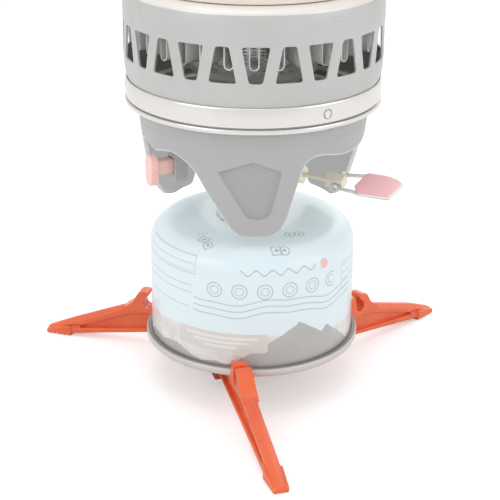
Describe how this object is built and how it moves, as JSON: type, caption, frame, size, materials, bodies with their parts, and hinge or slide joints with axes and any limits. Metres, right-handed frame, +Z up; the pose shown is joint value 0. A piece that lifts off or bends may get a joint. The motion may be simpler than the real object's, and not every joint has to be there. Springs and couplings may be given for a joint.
{
  "type": "canister camping stove with folding leg stand and pot",
  "caption": "Canister camping stove on a folding three-leg stand, with burner, windscreen, push igniter and a fabric-sleeved heat-exchanger pot with lid.",
  "frame": {"origin": "on the axis shared by the canister, burner and pot, at floor level", "axes": "+Z up along that axis; -Y towards the front; +X to the right when seen from the front"},
  "size_m": [0.203, 0.1713, 0.2953],
  "materials": {
    "leg_plastic": "satin moulded orange plastic",
    "steel": "plain stainless steel",
    "rim_steel": "bare tinplate with a soft brushed sheen",
    "canister_paint": "gloss printed paint, pale blue to off-white",
    "brass": "machined brass, lightly dulled",
    "rubber_black": "black nitrile rubber",
    "base_plastic": "fine-textured grey plastic",
    "band_steel": "satin spun steel",
    "burner_steel": "plain stainless steel",
    "collar_plastic": "knurled dark plastic",
    "tab_red": "pale red dipped plastic",
    "button_red": "pale red plastic",
    "housing_plastic": "dark grey plastic",
    "lead_rubber": "silicone insulation",
    "ceramic": "glazed white ceramic",
    "pot_metal": "hard-anodised aluminium, soft sheen",
    "fin_metal": "bare aluminium sheet",
    "cosy_fabric": "cream woven sleeve with a stitched hem",
    "grip_rubber": "soft silicone sleeve",
    "lid_plastic": "grey heat-resistant plastic",
    "knob_plastic": "dark plastic"
  },
  "bodies": {
    "stand": {"stand_front_leg": "leg_plastic", "stand_rivets": "steel"},
    "left_leg": {"stand_left_leg": "leg_plastic"},
    "right_leg": {"stand_right_leg": "leg_plastic"},
    "canister": {"canister_shell": "canister_paint", "canister_base": "rim_steel", "canister_valve_cup": "rim_steel", "canister_valve_seal": "rubber_black", "canister_valve_spring": "steel"},
    "canister_pin": {"canister_valve_pin": "brass"},
    "burner": {"base_shell": "base_plastic", "base_screws": "steel", "burner_bowl": "band_steel", "mixing_tube": "burner_steel", "gas_jet": "brass", "burner_head": "burner_steel", "burner_grid": "burner_steel", "valve_body": "brass", "connector_collar": "collar_plastic", "connector_seal": "rubber_black", "packing_nut": "brass", "igniter_housing": "housing_plastic", "igniter_spring": "steel", "igniter_lead": "lead_rubber", "spark_insulator": "ceramic", "spark_electrode": "steel"},
    "valve_stem": {"valve_spindle": "brass", "handle_block": "brass", "handle_pins": "steel"},
    "valve_handle": {"handle_wire": "steel", "handle_tab": "tab_red"},
    "igniter_button": {"igniter_button": "button_red"},
    "pot": {"pot_body": "pot_metal", "pot_skirt": "pot_metal", "skirt_ledge": "pot_metal", "heat_fins": "fin_metal", "pot_cosy": "cosy_fabric", "handle_bracket": "steel", "bracket_pins": "steel"},
    "front_handle": {"front_handle": "steel", "front_grip": "grip_rubber"},
    "rear_handle": {"rear_handle": "steel", "rear_grip": "grip_rubber"},
    "lid": {"lid": "lid_plastic", "lid_seal": "rubber_black", "lid_knob": "knob_plastic", "lid_screw": "steel"}
  },
  "joints": [
    {"name": "left_leg_fold", "type": "hinge", "parent": "stand", "child": "left_leg", "pos_m": [-0.0061, -0.0064, 0.009], "axis": [0, 0, 1], "range_deg": [0, 119.8]},
    {"name": "right_leg_fold", "type": "hinge", "parent": "stand", "child": "right_leg", "pos_m": [0.00431, -0.00473, 0.0138], "axis": [0, 0, 1], "range_deg": [-118.2, 0]},
    {"name": "canister_lift", "type": "slide", "parent": "stand", "child": "canister", "axis": [0, 0, 1], "range_m": [0, 0.02]},
    {"name": "canister_pin_press", "type": "slide", "parent": "canister", "child": "canister_pin", "axis": [0, 0, -1], "range_m": [0, 0.0015], "stiffness_N_per_m": 600, "springref_m": -0.001, "deforming": ["canister_valve_spring"]},
    {"name": "burner_turn", "type": "hinge", "parent": "canister", "child": "burner", "pos_m": [0, 0, 0.08], "axis": [0, 0, 1], "range_deg": [0, 720]},
    {"name": "valve_turn", "type": "hinge", "parent": "burner", "child": "valve_stem", "pos_m": [0.02624, -0.01454, 0.098], "axis": [0.8746, -0.4848, 0], "range_deg": [0, 540]},
    {"name": "valve_handle_fold", "type": "hinge", "parent": "valve_stem", "child": "valve_handle", "pos_m": [0.03586, -0.01988, 0.098], "axis": [0.4357, 0.7861, 0.4384], "range_deg": [-35, 55]},
    {"name": "igniter_press", "type": "slide", "parent": "burner", "child": "igniter_button", "axis": [0.8746, 0.4848, 0], "range_m": [0, 0.003], "stiffness_N_per_m": 500, "springref_m": -0.002, "deforming": ["igniter_spring"]},
    {"name": "pot_lift", "type": "slide", "parent": "burner", "child": "pot", "axis": [0, 0, 1], "range_m": [0, 0.03]},
    {"name": "front_handle_fold", "type": "hinge", "parent": "pot", "child": "front_handle", "pos_m": [0.0543, -0.0075, 0.22], "axis": [0, 0, 1], "range_deg": [-90, 0]},
    {"name": "rear_handle_fold", "type": "hinge", "parent": "pot", "child": "rear_handle", "pos_m": [0.0543, 0.0075, 0.22], "axis": [0, 0, 1], "range_deg": [0, 90]},
    {"name": "lid_lift", "type": "slide", "parent": "pot", "child": "lid", "axis": [0, 0, 1], "range_m": [0, 0.03]}
  ]
}
